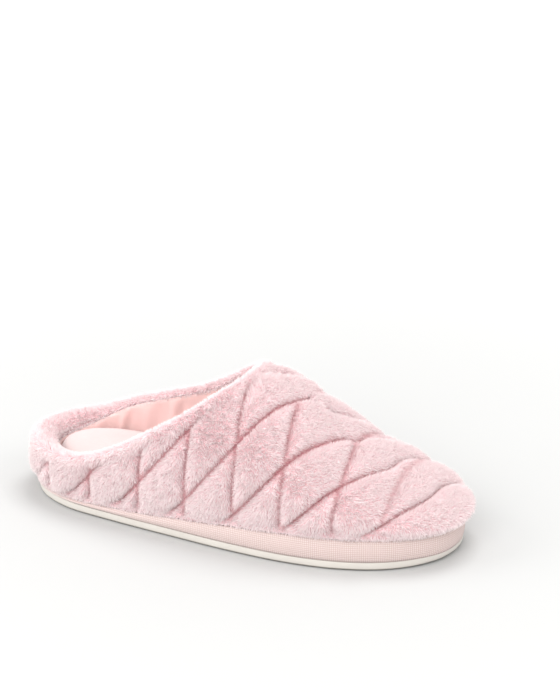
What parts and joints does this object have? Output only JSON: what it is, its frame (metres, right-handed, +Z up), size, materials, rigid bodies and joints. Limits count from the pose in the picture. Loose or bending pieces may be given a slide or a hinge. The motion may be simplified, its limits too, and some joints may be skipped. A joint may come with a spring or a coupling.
{
  "type": "scuff slipper",
  "caption": "Backless-style scuff slipper, right foot: quilted plush upper with a low padded heel rim, cloth-wrapped sole, soft insole and thin rubber outsole.",
  "frame": {"origin": "on the floor plane, under the middle of the sole's length, at the heel's middle line", "axes": "+X from heel to toe, +Y to the inner side of the foot, +Z up from the floor"},
  "size_m": [0.2686, 0.1012, 0.0915],
  "materials": {
    "quilted_plush": "short soft pile over wadding, matt",
    "fleece_insole": "fine fleece, matt",
    "woven_cloth": "plain weave, matt",
    "foam": "foam, matt",
    "outsole_rubber": "moulded, low sheen"
  },
  "bodies": {
    "root": {"upper": "quilted_plush", "insole": "fleece_insole", "cloth_band": "woven_cloth", "midsole": "foam", "outsole": "outsole_rubber"}
  },
  "joints": []
}
